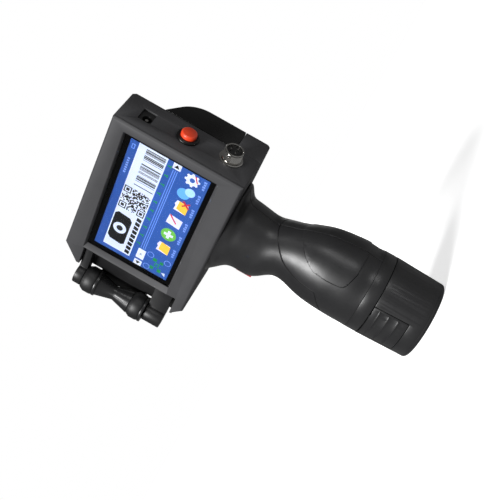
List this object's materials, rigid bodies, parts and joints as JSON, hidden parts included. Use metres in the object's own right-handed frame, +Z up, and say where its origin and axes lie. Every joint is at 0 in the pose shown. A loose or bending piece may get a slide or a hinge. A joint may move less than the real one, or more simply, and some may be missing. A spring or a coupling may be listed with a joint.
{
  "type": "date code inkjet printer",
  "caption": "Handheld inkjet coder: boxed head with a touch screen, nozzle between two guide rollers, pistol grip with a trigger and a clip-in battery.",
  "frame": {"origin": "centre of the battery's flat base, which the printer stands on", "axes": "+Z up along the handle, +X towards the rear panel with the sockets, -X out of the nozzle, -Y out of the screen"},
  "size_m": [0.1583, 0.0608, 0.2264],
  "materials": {
    "case_plastic": "dark grey satin moulding",
    "grip_plastic": "dark grey satin moulding",
    "trigger_red": "red moulding",
    "face_paint": "fine textured grey-black paint",
    "door_black": "black gloss",
    "black_parts": "black satin",
    "tyre_rubber": "black rubber",
    "steel": "bright steel",
    "nickel": "bright nickel",
    "contact_gold": "gold plated contacts",
    "cell_wrap": "shrink-wrapped cells",
    "board_green": "green circuit board",
    "lid_black": "black moulding",
    "cable_black": "black insulation",
    "screen_glass": "clear touch glass",
    "lcd": "lit display",
    "standoff_brass": "turned brass",
    "button_black": "black gloss",
    "button_red": "orange-red gloss",
    "ink_plastic": "grey moulding"
  },
  "bodies": {
    "printer": {"battery_cable": "cable_black", "bay_hinge_pins": "steel", "board_standoffs": "standoff_brass", "button_body": "button_black", "button_nut": "nickel", "button_spring": "steel", "cartridge_cradle": "black_parts", "connector_insert": "black_parts", "connector_nut": "nickel", "connector_pins": "nickel", "connector_shell": "nickel", "contact_strip": "contact_gold", "cover_screws": "steel", "dc_jack": "black_parts", "dc_jack_pin": "nickel", "display_gasket": "black_parts", "encoder_sensor": "black_parts", "far_roller_axle": "steel", "far_roller_bracket": "black_parts", "front_cover": "face_paint", "handle_collar": "case_plastic", "handle_far_shell": "grip_plastic", "handle_near_shell": "grip_plastic", "handle_screws": "steel", "handle_terminals": "lid_black", "head_screws": "steel", "lcd_module": "lcd", "main_board": "board_green", "main_shell": "face_paint", "near_roller_axle": "steel", "near_roller_bracket": "black_parts", "nose_block": "black_parts", "rear_housing": "face_paint", "touch_glass": "screen_glass", "trigger_spring": "steel", "trigger_switch": "black_parts"},
    "power_button": {"button_cap": "button_red"},
    "trigger_shoe": {"trigger": "trigger_red"},
    "near_guide_roller": {"near_roller": "black_parts", "near_tyres": "tyre_rubber", "encoder_disc": "steel"},
    "far_guide_roller": {"far_roller": "black_parts", "far_tyres": "tyre_rubber"},
    "bay_door": {"bay_cover": "door_black"},
    "cartridge": {"ink_cartridge": "ink_plastic", "nozzle_plate": "steel"},
    "battery": {"battery_case": "case_plastic", "battery_cap": "case_plastic", "battery_cells": "cell_wrap", "battery_board": "board_green", "battery_lid": "lid_black", "battery_terminals": "contact_gold", "near_latch_spring": "steel", "far_latch_spring": "steel"},
    "near_side_latch": {"near_latch": "case_plastic"},
    "far_side_latch": {"far_latch": "case_plastic"}
  },
  "joints": [
    {"name": "power_press", "type": "slide", "parent": "printer", "child": "power_button", "axis": [-1, 0, 0], "range_m": [0, 0.002], "stiffness_N_per_m": 700, "springref_m": -0.001, "deforming": ["button_spring"]},
    {"name": "trigger_pull", "type": "slide", "parent": "printer", "child": "trigger_shoe", "axis": [1, 0, 0], "range_m": [0, 0.0035], "stiffness_N_per_m": 600, "springref_m": -0.001, "deforming": ["trigger_spring"]},
    {"name": "near_roller_spin", "type": "hinge", "parent": "printer", "child": "near_guide_roller", "pos_m": [-0.0989, -0.021, 0.18], "axis": [0, 0, 1], "continuous": true},
    {"name": "far_roller_spin", "type": "hinge", "parent": "printer", "child": "far_guide_roller", "pos_m": [-0.0989, 0.021, 0.18], "axis": [0, 0, 1], "continuous": true},
    {"name": "bay_hinge", "type": "hinge", "parent": "printer", "child": "bay_door", "pos_m": [0, 0.0244, 0.15315], "axis": [-1, 0, 0], "range_deg": [0, 105]},
    {"name": "cartridge_slide", "type": "slide", "parent": "printer", "child": "cartridge", "axis": [1, 0, 0], "range_m": [0, 0.012]},
    {"name": "battery_slide", "type": "slide", "parent": "printer", "child": "battery", "axis": [0, 0, -1], "range_m": [0, 0.045]},
    {"name": "near_latch_squeeze", "type": "slide", "parent": "battery", "child": "near_side_latch", "axis": [0, 1, 0], "range_m": [0, 0.0015], "stiffness_N_per_m": 900, "springref_m": -0.001, "deforming": ["near_latch_spring"]},
    {"name": "far_latch_squeeze", "type": "slide", "parent": "battery", "child": "far_side_latch", "axis": [0, -1, 0], "range_m": [0, 0.0015], "stiffness_N_per_m": 900, "springref_m": -0.001, "deforming": ["far_latch_spring"]}
  ]
}
